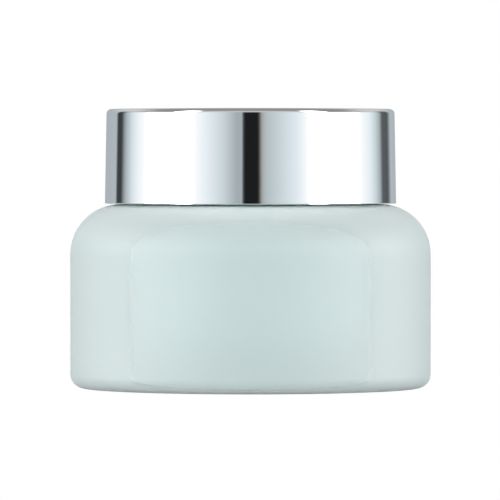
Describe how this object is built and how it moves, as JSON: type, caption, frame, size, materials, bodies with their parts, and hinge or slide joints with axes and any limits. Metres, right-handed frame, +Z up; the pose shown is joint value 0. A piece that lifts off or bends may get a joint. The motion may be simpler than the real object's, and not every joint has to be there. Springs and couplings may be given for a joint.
{
  "type": "cosmetic cream jar",
  "caption": "Low round frosted glass jar with a heavy base, a soft shoulder, a sealing disc in its mouth and a mirror-silver screw cap with a foam liner.",
  "frame": {"origin": "centre of the foot ring that the jar stands on", "axes": "+Z up along the jar's axis; the jar is round, so +X and +Y are free, and -Y is the side facing the viewer"},
  "size_m": [0.062, 0.062, 0.0479],
  "materials": {
    "frosted_glass": "etched matt outside, bright inside, pale aqua tint",
    "soft_polythene": "moulded low density polythene, milky",
    "liner_foam": "closed cell foam sheet, white",
    "cap_plastic": "moulded polypropylene, white",
    "metallised_shell": "moulded plastic with a bright silver mirror coat outside"
  },
  "bodies": {
    "jar": {"glass_jar": "frosted_glass"},
    "disc": {"sealing_disc": "soft_polythene"},
    "liner": {"foam_liner": "liner_foam"},
    "cap": {"cap_shell": "metallised_shell", "inner_cap": "cap_plastic"}
  },
  "joints": [
    {"name": "cap_rise", "type": "slide", "parent": "jar", "child": "liner", "axis": [0, 0, 1], "range_m": [0, 0.036]},
    {"name": "cap_turn", "type": "hinge", "parent": "liner", "child": "cap", "pos_m": [0, 0, 0.04], "axis": [0, 0, 1], "range_deg": [0, 1080]},
    {"name": "disc_lift", "type": "slide", "parent": "jar", "child": "disc", "axis": [0, 0, 1], "range_m": [0, 0.0144]}
  ],
  "couplings": [
    {"joint": "cap_rise", "follows": "cap_turn", "m_per_rad": 0.0019099},
    {"joint": "disc_lift", "follows": "cap_turn", "m_per_rad": 0.00076393}
  ]
}
